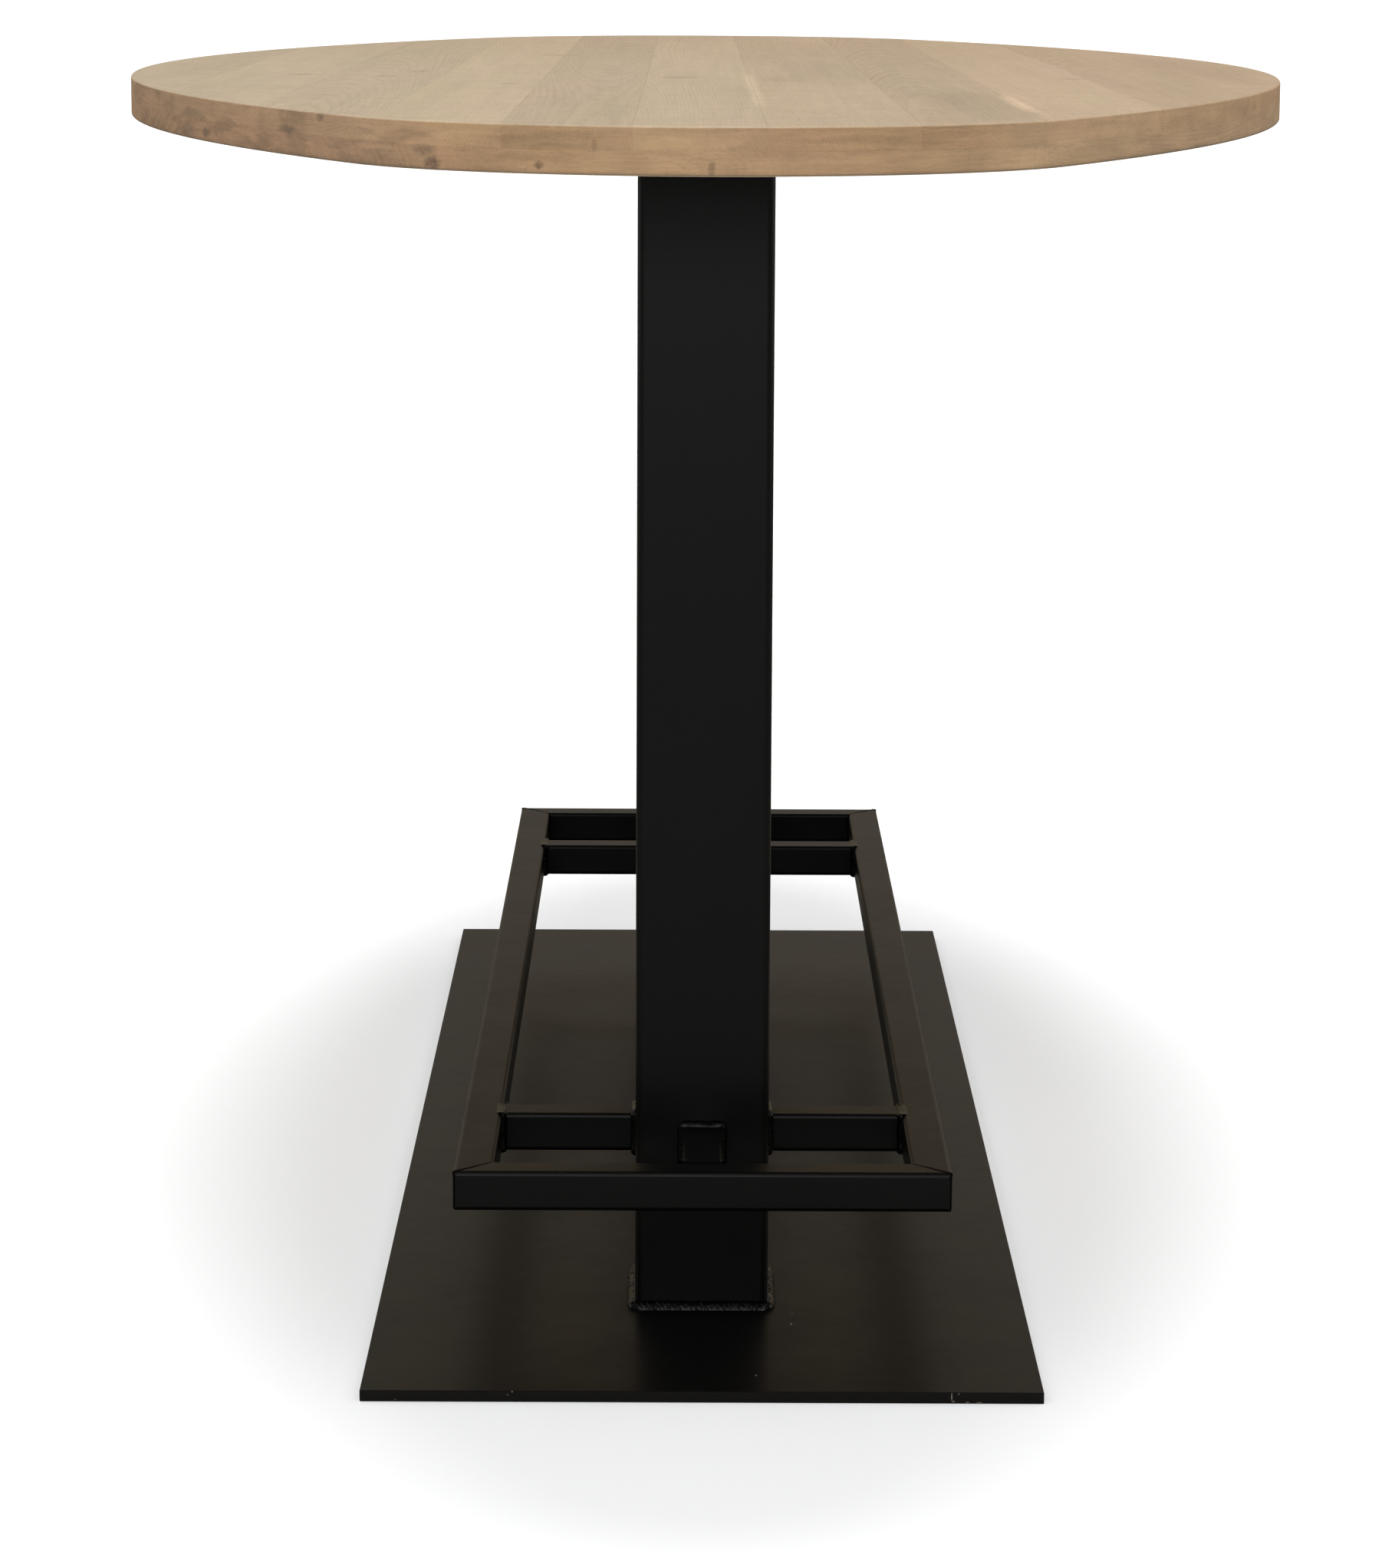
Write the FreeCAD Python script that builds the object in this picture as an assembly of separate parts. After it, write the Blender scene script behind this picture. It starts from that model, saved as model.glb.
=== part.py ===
import FreeCAD, Part
import math
import os
from FreeCAD import Vector as V

# Bar-height table: a long four-centre oval oak top on a welded steel base with two square columns, one floor plate and a
# rectangular foot rail frame round both columns. Millimetres. Origin on the floor at the centre of the table,
# +Z up, +Y along the length of the top, the narrow end of the table facing -Y.

# ---- driving dimensions ----
HEIGHT = 1100.0          # floor to top face
TOP_LEN = 2800.0         # oval, along Y
TOP_WID = 1120.0         # oval, along X
TOP_END_R = 300.0        # radius of the two end arcs of the oval
LAYER_T = 18.0           # each of the two oak layers
EDGE_EASE = 1.5          # chamfer on the upper and lower rim of the top
BORDER_W = 120.0         # width of the doubled-up border under the top
BATTEN_W = 240.0         # oak battens that carry the mounting plates
STAVE_SEAMS = [-462.0, -355.0, -250.0, -152.0, -56.0, 41.0, 154.0, 251.0, 360.0, 466.0]   # X of the glue lines

PLATE_W = 585.0          # floor plate, along X
PLATE_L = 1880.0         # floor plate, along Y
PLATE_T = 10.0
PLATE_BREAK = 0.6        # broken edge

COL = 120.0              # square hollow section of the columns
COL_WALL = 4.0
COL_R = 7.0              # outside corner radius of the section
COL_Y = 633.0            # column centre from the middle of the table

TUBE = 35.0              # square hollow section of the foot rail frame
TUBE_WALL = 2.0
TUBE_R = 4.0
FRAME_W = 433.0          # outside width of the foot rail frame
FRAME_L = 1710.0         # outside length of the foot rail frame
FRAME_TOP = 180.0        # top face of the rails above the floor
FRAME_CORNER = 4.0       # upright corners of the frame, ground round after welding

MOUNT_W = 480.0          # mounting plate on each column, along X
MOUNT_L = 200.0
MOUNT_T = 8.0
SCREW_R = 3.0
SCREW_LEN = 32.0
SCREW_X = [-210.0, -100.0, 100.0, 210.0]
SCREW_DY = 78.0          # screw rows either side of the column centre
WASHER_T = 1.6

FOOT_WELD = 7.0          # leg of the fillet weld round each column foot
RAIL_WELD = 5.0          # leg of the rail welds
GAP = 1.5                # width of the weld seam in each mitre

os.makedirs("parts", exist_ok=True)


def save(name, shape):
    if shape.ShapeType == "Compound" and len(shape.Solids) == 1:
        shape = shape.Solids[0]
    bad = [s for s in shape.Solids if not s.isValid() or s.Volume <= 0]
    print("%-26s solids %d  volume %.1f cm3%s" % (name, len(shape.Solids), shape.Volume / 1000.0, "  INVALID" if bad else ""))
    shape.exportStep("parts/%s.step" % name)


# ---- section helpers ----
def rrect_pts(w, h, r):
    """Rounded rectangle in its own plane as a list of (kind, points)."""
    a, b = w / 2.0, h / 2.0
    c = r * (1.0 - math.sqrt(0.5))
    return [("l", (-a + r, -b), (a - r, -b)), ("a", (a - r, -b), (a - c, -b + c), (a, -b + r)),
            ("l", (a, -b + r), (a, b - r)), ("a", (a, b - r), (a - c, b - c), (a - r, b)),
            ("l", (a - r, b), (-a + r, b)), ("a", (-a + r, b), (-a + c, b - c), (-a, b - r)),
            ("l", (-a, b - r), (-a, -b + r)), ("a", (-a, -b + r), (-a + c, -b + c), (-a + r, -b))]


def rrect_wire(w, h, r, place):
    edges = []
    for item in rrect_pts(w, h, r):
        pts = [place(*p) for p in item[1:]]
        edges.append(Part.LineSegment(*pts).toShape() if item[0] == "l" else Part.Arc(*pts).toShape())
    return Part.Wire(edges)


def along(axis, at, c1, c2):
    """Maps section coordinates to 3-D: the section's plane is normal to the axis, at the given station."""
    if axis == "x":
        return lambda u, v: V(at, c1 + u, c2 + v)
    if axis == "y":
        return lambda u, v: V(c1 + u, at, c2 + v)
    return lambda u, v: V(c1 + u, c2 + v, at)


DIRS = {"x": V(1, 0, 0), "y": V(0, 1, 0), "z": V(0, 0, 1)}


def bar(axis, start, end, c1, c2, w, h, r):
    face = Part.Face(rrect_wire(w, h, r, along(axis, start, c1, c2)))
    return face.extrude(DIRS[axis] * (end - start))


def tube(axis, start, end, c1, c2, w, wall, r):
    inner = max(r - wall, 0.8)
    return bar(axis, start, end, c1, c2, w, w, r).cut(bar(axis, start - 1, end + 1, c1, c2, w - 2 * wall, w - 2 * wall, inner))


def ring_loft(axis, stations, c1, c2):
    """Solid through rounded rectangles given as (station, w, h, r)."""
    wires = [rrect_wire(w, h, r, along(axis, at, c1, c2)) for at, w, h, r in stations]
    return Part.makeLoft(wires, True, True)


# ---- the oval outline: side arcs of radius R about (-+K, 0), end arcs of radius TOP_END_R about (0, +-E) ----
A, B = TOP_WID / 2.0, TOP_LEN / 2.0
E = B - TOP_END_R
K = (E * E - (A - TOP_END_R) ** 2) / (2.0 * (A - TOP_END_R))
R = A + K
PHI = math.atan2(E, K)


def oval_face(off, z):
    """Oval moved inward by off, as a face at height z."""
    r, big = TOP_END_R - off, R - off
    tx, ty = r * math.cos(PHI), E + r * math.sin(PHI)
    edges = [Part.Arc(V(tx, -ty, z), V(big - K, 0, z), V(tx, ty, z)).toShape(),
             Part.Arc(V(tx, ty, z), V(0, E + r, z), V(-tx, ty, z)).toShape(),
             Part.Arc(V(-tx, ty, z), V(K - big, 0, z), V(-tx, -ty, z)).toShape(),
             Part.Arc(V(-tx, -ty, z), V(0, -E - r, z), V(tx, -ty, z)).toShape()]
    return Part.Face(Part.Wire(edges))


def eased(solid, z):
    """Chamfers the rim edges that lie at height z."""
    rim = [e for e in solid.Edges if abs(e.BoundBox.ZMin - z) < 1e-6 and abs(e.BoundBox.ZMax - z) < 1e-6]
    return solid.makeChamfer(EDGE_EASE, rim)


def screw_places(cy):
    return [(x, cy + s * SCREW_DY) for x in SCREW_X for s in (-1.0, 1.0)]


z_mid = HEIGHT - LAYER_T            # between the two oak layers
z_low = HEIGHT - 2.0 * LAYER_T      # underside of the oak
z_mount = z_low - MOUNT_T           # underside of the mounting plates
pilots = [Part.makeCylinder(SCREW_R + 0.05, SCREW_LEN, V(x, y, z_mount - WASHER_T), V(0, 0, 1))
          for cy in (-COL_Y, COL_Y) for x, y in screw_places(cy)]

# ---- upper oak layer: full-length staves glued edge to edge, cut to the oval ----
upper = eased(oval_face(0.0, z_mid).extrude(V(0, 0, LAYER_T)), HEIGHT)
seams = [-A - 5.0] + STAVE_SEAMS + [A + 5.0]
for i in range(len(seams) - 1):
    x0, x1 = seams[i], seams[i + 1]
    stave = upper.common(Part.makeBox(x1 - x0, TOP_LEN + 10, LAYER_T + 2, V(x0, -B - 5, z_mid - 1)))
    for p in pilots:
        if x0 - 4 < p.BoundBox.Center.x < x1 + 4:
            stave = stave.cut(p)
    save("oak_stave_%02d" % (i + 1), stave)

# ---- lower oak layer: a border of strips that doubles the rim, cut with radial joints ----
ring = eased(oval_face(0.0, z_low).extrude(V(0, 0, LAYER_T)), z_low)
inside = oval_face(BORDER_W, z_low - 1).extrude(V(0, 0, LAYER_T + 2))
ring = ring.cut(inside)


def polar(cx, cy, r, ang):
    return V(cx + r * math.cos(ang), cy + r * math.sin(ang), z_low - 2)


def prism(points):
    return Part.Face(Part.makePolygon(points + [points[0]])).extrude(V(0, 0, LAYER_T + 4))


pi = math.pi
j1, j2, j3 = math.radians(-33.5), math.radians(-80.0), math.radians(-132.0)     # joints in the front end, about (0, -E)
left = lambda r, y: polar(K, 0.0, r, pi - math.asin(y / R))         # ray from the centre of the left side arc
ri, ro = R - 240.0, R + 90.0
cuts = [
    [polar(0, -E, 60, j1), polar(0, -E, 520, j1), polar(0, -E, 520, (j1 + j2) / 2), polar(0, -E, 520, j2), polar(0, -E, 60, j2)],
    [polar(0, -E, 60, j2), polar(0, -E, 520, j2), polar(0, -E, 520, (j2 + j3) / 2), polar(0, -E, 520, j3), polar(0, -E, 60, j3)],
    [polar(0, -E, 60, j3), polar(0, -E, 520, j3), polar(0, -E, 520, PHI - pi), left(ro, -430.0), left(ri, -430.0), polar(0, -E, 60, PHI - pi)],
    [left(ri, -430.0), left(ro, -430.0), left(ro, 430.0), left(ri, 430.0)],
    [left(ri, 430.0), left(ro, 430.0), polar(0, E, 520, pi - PHI), polar(0, E, 520, pi + j1), polar(0, E, 60, pi + j1),
     polar(0, E, 60, pi - PHI)],
]
n = 0
for half in (0, 1):
    for pts in cuts:
        block = prism(pts)
        if half:
            block.rotate(V(0, 0, 0), V(0, 0, 1), 180.0)
        n += 1
        save("oak_border_%02d" % n, ring.common(block))

# ---- oak battens inside the border, above each mounting plate ----
for name, cy in (("oak_batten_front", -COL_Y), ("oak_batten_rear", COL_Y)):
    batten = oval_face(BORDER_W, z_low).extrude(V(0, 0, LAYER_T))
    batten = batten.common(Part.makeBox(TOP_WID, BATTEN_W, LAYER_T + 2, V(-A, cy - BATTEN_W / 2, z_low - 1)))
    for p in pilots:
        batten = batten.cut(p)
    save(name, batten)

# ---- floor plate ----
plate = Part.makeBox(PLATE_W, PLATE_L, PLATE_T, V(-PLATE_W / 2, -PLATE_L / 2, 0))
plate = plate.makeChamfer(PLATE_BREAK, plate.Edges)
save("floor_plate", plate)

# ---- columns with their mounting plates, screws and washers ----
for name, cy in (("front", -COL_Y), ("rear", COL_Y)):
    save("column_" + name, tube("z", PLATE_T, z_mount, 0, cy, COL, COL_WALL, COL_R))
    mount = bar("z", z_mount, z_low, 0, cy, MOUNT_W, MOUNT_L, 12.0)
    screws, washers = [], []
    for x, y in screw_places(cy):
        # slots run across the grain, so the oak can move
        mount = mount.cut(bar("z", z_mount - 1, z_low + 1, x, y, 18.0, 7.0, 3.499))
        zh = z_mount - WASHER_T
        shank = Part.makeCylinder(SCREW_R, SCREW_LEN - 4.0, V(x, y, zh), V(0, 0, 1))
        tip = Part.makeCone(SCREW_R, 0.6, 4.0, V(x, y, zh + SCREW_LEN - 4.0), V(0, 0, 1))
        head = Part.makeCone(4.4, 6.0, 1.6, V(x, y, zh - 3.6), V(0, 0, 1)).fuse(Part.makeCylinder(6.0, 2.0, V(x, y, zh - 2.0), V(0, 0, 1)))
        socket = Part.makePolygon([V(x + 2.3 * math.cos(math.radians(60 * k)), y + 2.3 * math.sin(math.radians(60 * k)), zh - 4.0) for k in range(7)])
        head = head.cut(Part.Face(socket).extrude(V(0, 0, 2.2)))
        screws.append(head.fuse(shank).fuse(tip).removeSplitter())
        washers.append(Part.makeCylinder(10.0, WASHER_T, V(x, y, zh), V(0, 0, 1)).cut(
            Part.makeCylinder(SCREW_R + 0.2, WASHER_T + 2, V(x, y, zh - 1), V(0, 0, 1))))
    save("mounting_plate_" + name, mount)
    save("top_screws_" + name, Part.makeCompound(screws))
    save("top_washers_" + name, Part.makeCompound(washers))

# ---- foot rail frame ----
zc = FRAME_TOP - TUBE / 2.0
xc = FRAME_W / 2.0 - TUBE / 2.0        # centre line of a side rail
yc = FRAME_L / 2.0 - TUBE / 2.0        # centre line of an end rail
x_in = FRAME_W / 2.0 - TUBE            # inner face of a side rail
y_in = FRAME_L / 2.0 - TUBE            # inner face of an end rail
col_x = COL / 2.0
col_out = COL_Y + COL / 2.0            # outer face of a column


def corner_wedge(side, cx, cy, gap):
    """Large block on one side of the mitre plane through a corner (cx, cy are +-1); side is 'x' or 'y'."""
    ox, oy = cx * xc, cy * yc
    big = 3000.0
    d = V(cx, cy, 0).normalize()                 # along the mitre, outwards
    nrm = V(-cx, cy, 0).normalize()              # from the mitre towards the end rail's side
    if side == "y":
        nrm = nrm.negative()
    o = V(ox, oy, 0) + nrm * gap
    p1, p2 = o - d * big, o + d * big
    p3, p4 = p2 + nrm * big, p1 + nrm * big
    low = [V(p.x, p.y, FRAME_TOP - TUBE - 20) for p in (p1, p2, p3, p4)]
    return Part.Face(Part.makePolygon(low + [low[0]])).extrude(V(0, 0, TUBE + 40))


def long_x(cy):
    return tube("x", -FRAME_W / 2 - 1, FRAME_W / 2 + 1, cy * yc, zc, TUBE, TUBE_WALL, TUBE_R)


def long_y(cx):
    return tube("y", -FRAME_L / 2 - 1, FRAME_L / 2 + 1, cx * xc, zc, TUBE, TUBE_WALL, TUBE_R)


def core_x(cy):
    return bar("x", -FRAME_W / 2, FRAME_W / 2, cy * yc, zc, TUBE, TUBE, TUBE_R)


def core_y(cx):
    return bar("y", -FRAME_L / 2, FRAME_L / 2, cx * xc, zc, TUBE, TUBE, TUBE_R)


ground = bar("z", zc - TUBE, zc + TUBE, 0.0, 0.0, FRAME_W, FRAME_L, FRAME_CORNER)

for name, cy in (("rail_front", -1), ("rail_rear", 1)):
    rail = long_x(cy)
    for cx in (-1, 1):
        rail = rail.common(corner_wedge("x", cx, cy, GAP / 2))
    save(name, rail.common(ground))
for name, cx in (("rail_left", -1), ("rail_right", 1)):
    rail = long_y(cx)
    for cy in (-1, 1):
        rail = rail.common(corner_wedge("y", cx, cy, GAP / 2))
    save(name, rail.common(ground))
for name, cx, cy in (("cross_rail_front_left", -1, -1), ("cross_rail_front_right", 1, -1),
                     ("cross_rail_rear_left", -1, 1), ("cross_rail_rear_right", 1, 1)):
    a, b = sorted((cx * col_x, cx * x_in))
    save(name, tube("x", a, b, cy * COL_Y, zc, TUBE, TUBE_WALL, TUBE_R))
for name, cy in (("stub_front", -1), ("stub_rear", 1)):
    a, b = sorted((cy * col_out, cy * y_in))
    save(name, tube("y", a, b, 0.0, zc, TUBE, TUBE_WALL, TUBE_R))

# ---- welds ----
# seam metal in the four mitres of the foot rail frame
seam = []
for cx in (-1, 1):
    for cy in (-1, 1):
        side_x = long_x(cy).common(corner_wedge("x", cx, cy, 0.0)).cut(corner_wedge("x", cx, cy, GAP / 2))
        side_y = long_y(cx).common(corner_wedge("y", cx, cy, 0.0)).cut(corner_wedge("y", cx, cy, GAP / 2))
        near = Part.makeBox(90, 90, 90, V(cx * xc - 45, cy * yc - 45, zc - 45))
        seam.append(side_x.common(near).fuse(side_y.common(near)).common(ground).removeSplitter().Solids[0])
save("mitre_welds", Part.makeCompound(seam))

# fillet round each column foot and under each mounting plate
for name, cy in (("front", -COL_Y), ("rear", COL_Y)):
    core = bar("z", 0, HEIGHT, 0, cy, COL, COL, COL_R)
    w = FOOT_WELD
    foot = ring_loft("z", [(PLATE_T, COL + 2 * w, COL + 2 * w, COL_R + w), (PLATE_T + w, COL + 0.6, COL + 0.6, COL_R + 0.3)], 0, cy).cut(core)
    save("foot_weld_" + name, foot)
    w = RAIL_WELD
    head = ring_loft("z", [(z_mount - w, COL + 0.6, COL + 0.6, COL_R + 0.3), (z_mount, COL + 2 * w, COL + 2 * w, COL_R + w)], 0, cy).cut(core)
    save("head_weld_" + name, head)


def flat_bead(axis, at, sign, c1, c2):
    """Fillet round a tube's end against a flat face at a station; the tube leaves in the direction of sign."""
    w = RAIL_WELD
    st = [(at, TUBE + 2 * w, TUBE + 2 * w, TUBE_R + w), (at + sign * w, TUBE + 0.6, TUBE + 0.6, TUBE_R + 0.3)]
    if sign < 0:
        st.reverse()
    core = bar(axis, at - 30, at + 30, c1, c2, TUBE, TUBE, TUBE_R)
    return ring_loft(axis, st, c1, c2).cut(core)


def level_bead(axis, at, sign, c1, c2, wall):
    """Bead round a tube's end where it meets a rail of the same height: side fillets and a low crown over the seam."""
    w = RAIL_WELD
    a = [(at + sign * w, TUBE + 0.6, TUBE + 0.6, TUBE_R + 0.3), (at - sign * 1.0, TUBE + 1.7 * w, TUBE + 3.0, TUBE_R + 1.0)]
    b = [(at - sign * 1.0, TUBE + 1.7 * w, TUBE + 3.0, TUBE_R + 1.0), (at - sign * 6.0, TUBE + 0.6, TUBE + 0.6, TUBE_R + 0.3)]
    if sign > 0:
        a.reverse()
        b.reverse()
    core = bar(axis, at - 30, at + 30, c1, c2, TUBE, TUBE, TUBE_R)
    both = ring_loft(axis, a, c1, c2).fuse(ring_loft(axis, b, c1, c2))
    return both.cut(core).cut(wall)


for name, cy in (("front", -1), ("rear", 1)):
    beads = []
    for cx in (-1, 1):
        beads += flat_bead("x", cx * col_x, cx, cy * COL_Y, zc).Solids
        beads += level_bead("x", cx * x_in, -cx, cy * COL_Y, zc, core_y(cx)).Solids
    save("cross_rail_welds_" + name, Part.makeCompound(beads))
    beads = flat_bead("y", cy * col_out, cy, 0.0, zc).Solids
    beads += level_bead("y", cy * y_in, -cy, 0.0, zc, core_x(cy)).Solids
    save("stub_welds_" + name, Part.makeCompound(beads))
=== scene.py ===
import math
import random

import bmesh
import bpy
import numpy as np
from mathutils import Matrix, Vector, noise


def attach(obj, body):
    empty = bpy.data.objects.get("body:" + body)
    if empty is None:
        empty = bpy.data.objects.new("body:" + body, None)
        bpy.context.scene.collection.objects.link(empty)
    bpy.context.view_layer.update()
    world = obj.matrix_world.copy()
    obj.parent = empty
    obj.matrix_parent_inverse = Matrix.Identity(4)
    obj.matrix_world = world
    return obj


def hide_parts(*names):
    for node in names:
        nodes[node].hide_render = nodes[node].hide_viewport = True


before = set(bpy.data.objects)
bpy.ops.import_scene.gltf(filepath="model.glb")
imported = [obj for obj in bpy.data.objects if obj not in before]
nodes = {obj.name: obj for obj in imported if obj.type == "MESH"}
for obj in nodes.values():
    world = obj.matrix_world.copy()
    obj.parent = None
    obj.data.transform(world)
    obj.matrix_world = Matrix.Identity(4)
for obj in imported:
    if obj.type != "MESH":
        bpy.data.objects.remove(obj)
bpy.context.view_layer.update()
MM = 0.001
scene = bpy.context.scene


# =====================================================================================================================
# camera, at the photograph's place
# =====================================================================================================================
def build_camera():
    pitch, yaw, roll = 0.18031167926590197, -0.0023859782224977632, 0.0047009035432170705
    cp, sp = math.cos(pitch), math.sin(pitch)
    turn = Matrix.Rotation(yaw, 3, "Z")
    ahead, up, right = turn @ Vector((0, cp, -sp)), turn @ Vector((0, sp, cp)), turn @ Vector((1, 0, 0))
    r2 = math.cos(roll) * right + math.sin(roll) * up
    u2 = -math.sin(roll) * right + math.cos(roll) * up
    data = bpy.data.cameras.new("photo_camera")
    data.sensor_width = 36.0
    data.lens = 6151.254134527194 / 2044.0 * 36.0
    data.clip_start, data.clip_end = 0.05, 400.0
    cam = bpy.data.objects.new("photo_camera", data)
    scene.collection.objects.link(cam)
    m = Matrix((r2, u2, -ahead)).transposed().to_4x4()
    m.translation = Vector((-15.414084583198681, -4810.370405612121, 1242.8127393101452)) * MM
    cam.matrix_world = m
    scene.camera = cam


build_camera()
scene.view_settings.view_transform = "Standard"
scene.view_settings.look = "None"
scene.view_settings.exposure = 0.0
scene.view_settings.gamma = 1.0


# =====================================================================================================================
# node helper
# =====================================================================================================================
class Net:
    """Short names for building a node tree in code. A value is a number, a tuple or a socket."""

    def __init__(self, tree):
        self.tree = tree
        tree.nodes.clear()

    def node(self, kind, **props):
        n = self.tree.nodes.new(kind)
        for k, v in props.items():
            setattr(n, k, v)
        return n

    def put(self, socket, value):
        if value is None:
            return
        if isinstance(value, bpy.types.NodeSocket):
            self.tree.links.new(value, socket)
        elif hasattr(socket.default_value, "__len__") and not hasattr(value, "__len__"):
            socket.default_value = [value] * len(socket.default_value)
        elif hasattr(value, "__len__") and len(socket.default_value) == 4 and len(value) == 3:
            socket.default_value = (*value, 1.0)
        else:
            socket.default_value = value

    def m(self, op, a, b=None, c=None, clamp=False):
        n = self.node("ShaderNodeMath", operation=op, use_clamp=clamp)
        for s, v in zip(n.inputs, (a, b, c)):
            self.put(s, v)
        return n.outputs[0]

    def add(self, a, b):
        return self.m("ADD", a, b)

    def sub(self, a, b):
        return self.m("SUBTRACT", a, b)

    def mul(self, a, b):
        return self.m("MULTIPLY", a, b)

    def mad(self, a, b, c):
        return self.m("MULTIPLY_ADD", a, b, c)

    def v(self, op, a, b=None, scale=None):
        n = self.node("ShaderNodeVectorMath", operation=op)
        self.put(n.inputs[0], a)
        if b is not None:
            self.put(n.inputs[1], b)
        if scale is not None:
            self.put(n.inputs["Scale"], scale)
        return n.outputs["Value"] if op in ("LENGTH", "DOT_PRODUCT", "DISTANCE") else n.outputs["Vector"]

    def xyz(self, vec):
        n = self.node("ShaderNodeSeparateXYZ")
        self.put(n.inputs[0], vec)
        return n.outputs

    def vec(self, x, y, z):
        n = self.node("ShaderNodeCombineXYZ")
        for s, v in zip(n.inputs, (x, y, z)):
            self.put(s, v)
        return n.outputs[0]

    def noise(self, vec, scale=(1, 1, 1), detail=2.0, rough=0.5, colour=False, dims="3D"):
        n = self.node("ShaderNodeTexNoise", noise_dimensions=dims)
        if dims == "1D":
            self.put(n.inputs["W"], vec)
            n.inputs["Scale"].default_value = scale
        else:
            self.put(n.inputs["Vector"], self.v("MULTIPLY", vec, scale))
            n.inputs["Scale"].default_value = 1.0
        n.inputs["Detail"].default_value = detail
        n.inputs["Roughness"].default_value = rough
        return n.outputs["Color"] if colour else n.outputs["Fac"]

    def smooth(self, x, lo, hi, to_lo=0.0, to_hi=1.0):
        n = self.node("ShaderNodeMapRange", interpolation_type="SMOOTHSTEP")
        for s, v in zip(n.inputs, (x, lo, hi, to_lo, to_hi)):
            self.put(s, v)
        return n.outputs[0]

    def span(self, x, lo, hi, to_lo=0.0, to_hi=1.0, clamp=True):
        n = self.node("ShaderNodeMapRange", interpolation_type="LINEAR", clamp=clamp)
        for s, v in zip(n.inputs, (x, lo, hi, to_lo, to_hi)):
            self.put(s, v)
        return n.outputs[0]

    def mix(self, f, a, b, blend="MIX"):
        n = self.node("ShaderNodeMix", data_type="RGBA", blend_type=blend, clamp_result=False)
        self.put(n.inputs[0], f)
        self.put(n.inputs[6], a)
        self.put(n.inputs[7], b)
        return n.outputs[2]

    def times(self, colour, value):
        return self.v("SCALE", colour, scale=value)

    def bump(self, height, strength, distance, normal=None):
        n = self.node("ShaderNodeBump")
        n.inputs["Strength"].default_value = strength
        n.inputs["Distance"].default_value = distance
        self.put(n.inputs["Height"], height)
        if normal is not None:
            self.put(n.inputs["Normal"], normal)
        return n.outputs["Normal"]

    def surface(self, colour, rough, normal=None, **fixed):
        b = self.node("ShaderNodeBsdfPrincipled")
        self.put(b.inputs["Base Color"], colour)
        self.put(b.inputs["Roughness"], rough)
        if normal is not None:
            self.put(b.inputs["Normal"], normal)
        for k, v in fixed.items():
            b.inputs[k.replace("_", " ")].default_value = v
        out = self.node("ShaderNodeOutputMaterial")
        self.tree.links.new(b.outputs[0], out.inputs[0])
        return b


def new_material(name):
    mat = bpy.data.materials.new(name)
    mat.use_nodes = True
    return mat, Net(mat.node_tree)


# =====================================================================================================================
# light: a white studio with a dim, warm far wall low down, and one wide softbox above and behind the camera
# =====================================================================================================================
def build_world():
    world = bpy.data.worlds.new("studio")
    scene.world = world
    world.use_nodes = True
    net = Net(world.node_tree)
    direction = net.node("ShaderNodeTexCoord").outputs["Generated"]
    d = net.xyz(net.v("NORMALIZE", direction))
    ring_up = net.smooth(d[2], 0.38, 0.60)
    ring_down = net.smooth(d[2], 0.80, 0.93)
    side = net.smooth(net.m("ABSOLUTE", d[0]), 0.25, 0.90)
    level = net.mul(ring_up, net.sub(1.0, net.mul(ring_down, 0.82)))
    far = net.mix(net.smooth(d[0], -0.9, 0.9), (0.300, 0.243, 0.168), (0.275, 0.223, 0.156))
    near = net.mix(net.smooth(net.m("ABSOLUTE", d[0]), 0.3, 0.9), (0.60, 0.60, 0.60), (0.40, 0.39, 0.37))
    low = net.mix(net.smooth(d[1], 0.15, -0.55), far, near)
    ring = net.mix(side, (1.50, 1.555, 1.62), (0.88, 0.915, 0.955))
    low = net.times(low, net.smooth(d[2], 0.18, 0.29, 1.28, 1.0))
    lit = net.mix(level, low, ring)
    light = net.node("ShaderNodeBackground")
    net.put(light.inputs["Color"], lit)
    white = net.node("ShaderNodeBackground")
    white.inputs["Color"].default_value = (1, 1, 1, 1)
    pick = net.node("ShaderNodeMixShader")
    net.put(pick.inputs[0], net.node("ShaderNodeLightPath").outputs["Is Camera Ray"])
    net.tree.links.new(light.outputs[0], pick.inputs[1])
    net.tree.links.new(white.outputs[0], pick.inputs[2])
    net.tree.links.new(pick.outputs[0], net.node("ShaderNodeOutputWorld").inputs[0])


def softbox(name, at, aim, size_x, size_y, radiance):
    data = bpy.data.lights.new(name, "AREA")
    data.shape = "RECTANGLE"
    data.size, data.size_y = size_x, size_y
    data.energy = radiance * math.pi * size_x * size_y
    obj = bpy.data.objects.new(name, data)
    obj.location = at
    obj.rotation_euler = (Vector(aim) - Vector(at)).to_track_quat("-Z", "Y").to_euler()
    scene.collection.objects.link(obj)
    return obj


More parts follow.
